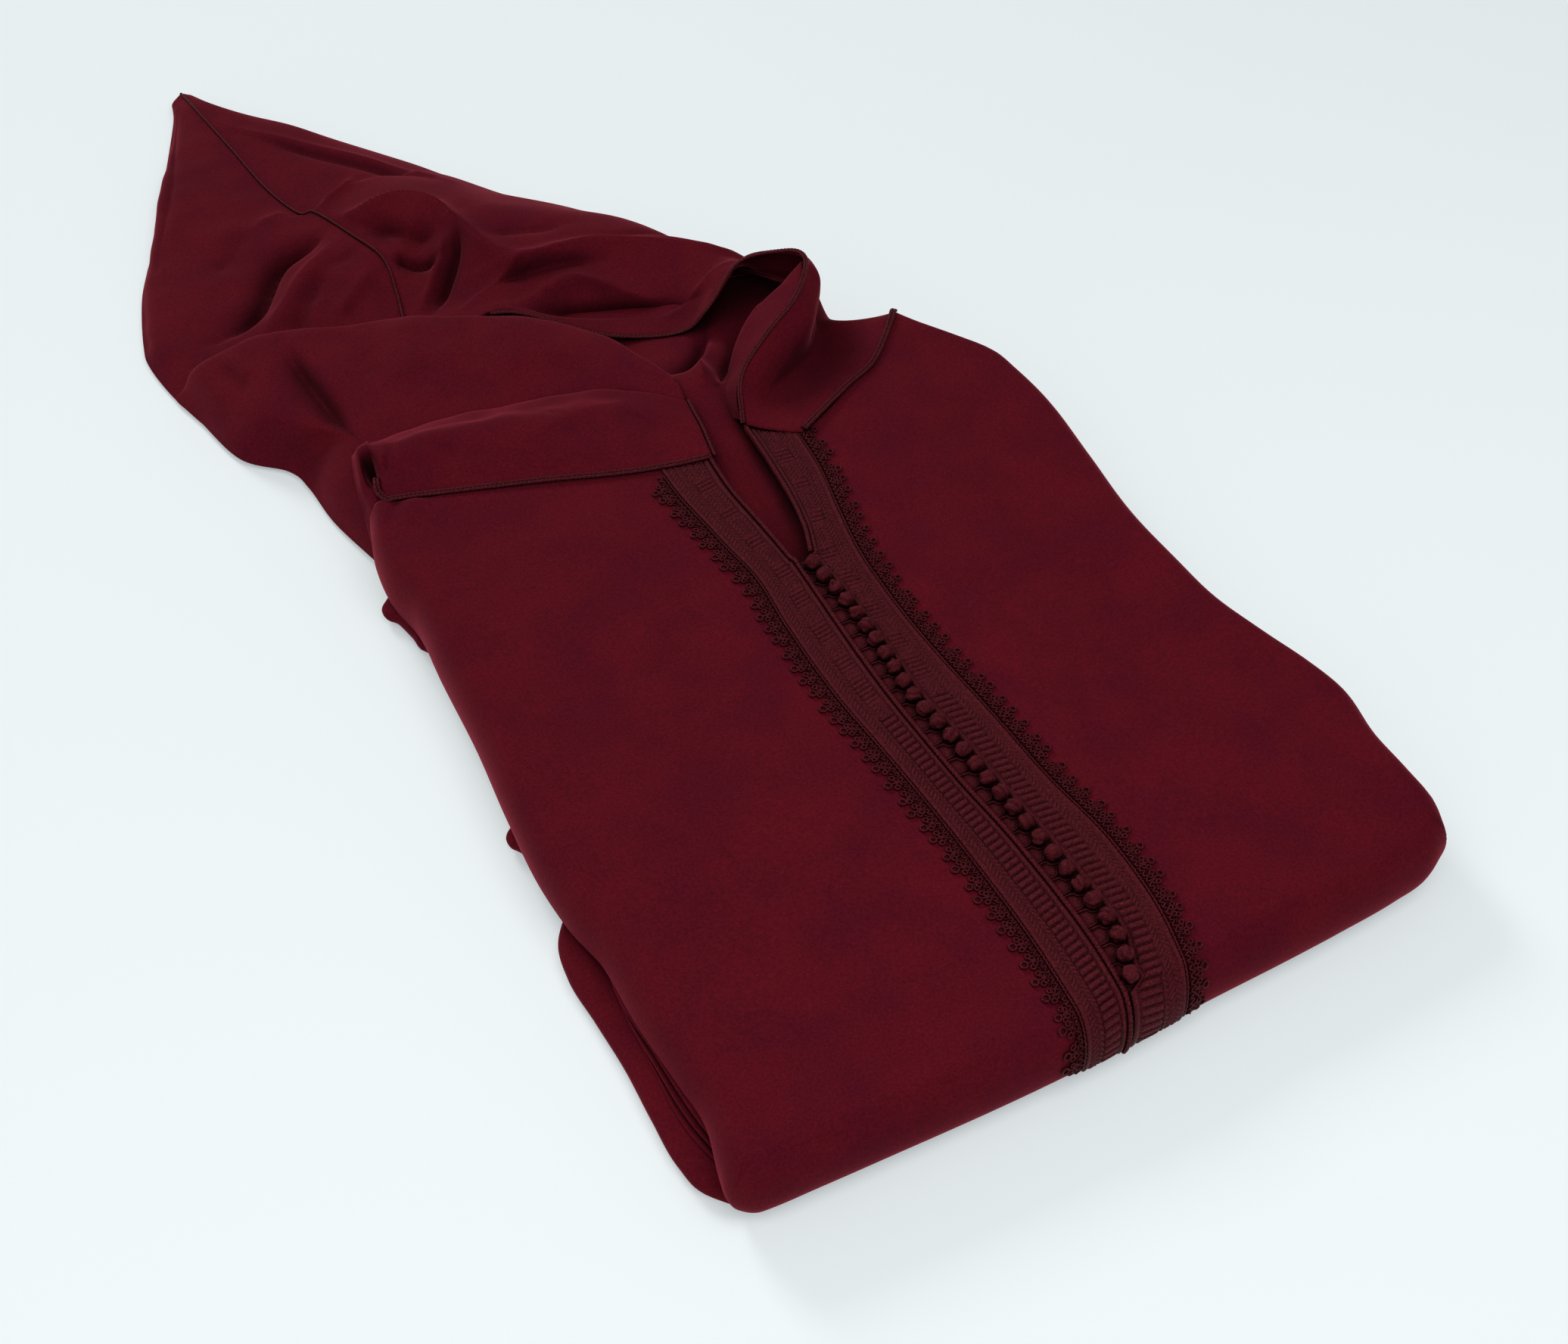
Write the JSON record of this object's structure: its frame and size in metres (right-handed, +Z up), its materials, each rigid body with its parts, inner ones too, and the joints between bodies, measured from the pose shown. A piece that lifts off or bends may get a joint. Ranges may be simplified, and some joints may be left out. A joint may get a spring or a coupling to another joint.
{
  "type": "folded djellaba",
  "caption": "Hooded djellaba robe folded flat for display, hood laid open beyond the shoulders, with braided bands, crochet edging and ball buttons down the neck slit.",
  "frame": {"origin": "centre of the bounding box's footprint, on the surface the folded robe lies on", "axes": "+X to the right along the front fold as seen from that fold, +Y from the front fold towards the hood's tip, +Z up"},
  "size_m": [0.4854, 0.9994, 0.0859],
  "materials": {
    "burgundy_cloth": "soft matt burgundy cloth with a slight nap",
    "braid_thread": "dark brownish burgundy thread with a faint satin sparkle"
  },
  "bodies": {
    "root": {"front_left": "burgundy_cloth", "front_right": "burgundy_cloth", "hood_crown_left": "burgundy_cloth", "hood_left_side": "burgundy_cloth", "yoke_left": "burgundy_cloth", "back_shoulder": "burgundy_cloth", "hood_right": "burgundy_cloth", "collar_facing": "burgundy_cloth", "back_neck": "burgundy_cloth", "skirt_fold_lower": "burgundy_cloth", "skirt_fold_upper": "burgundy_cloth", "sleeve_tip_upper": "burgundy_cloth", "sleeve_tip_lower": "burgundy_cloth", "folded_layers": "burgundy_cloth", "hood_layers": "burgundy_cloth", "band_left": "braid_thread", "edging_left": "braid_thread", "placket_cord_left": "braid_thread", "band_right": "braid_thread", "edging_right": "braid_thread", "placket_cord_right": "braid_thread", "yoke_cord": "braid_thread", "hood_foot_cord": "braid_thread", "hood_seam_cord": "braid_thread", "hood_edge_cord": "braid_thread", "yoke_edge_cord": "braid_thread", "button_01": "braid_thread", "button_02": "braid_thread", "button_03": "braid_thread", "button_04": "braid_thread", "button_05": "braid_thread", "button_06": "braid_thread", "button_07": "braid_thread", "button_08": "braid_thread", "button_09": "braid_thread", "button_10": "braid_thread", "button_11": "braid_thread", "button_12": "braid_thread", "button_13": "braid_thread", "button_14": "braid_thread", "button_15": "braid_thread", "button_16": "braid_thread", "button_17": "braid_thread", "button_18": "braid_thread", "button_19": "braid_thread", "button_20": "braid_thread", "button_21": "braid_thread", "button_22": "braid_thread", "button_23": "braid_thread", "button_24": "braid_thread", "button_25": "braid_thread", "button_26": "braid_thread", "button_27": "braid_thread", "button_28": "braid_thread", "button_29": "braid_thread"}
  },
  "joints": []
}
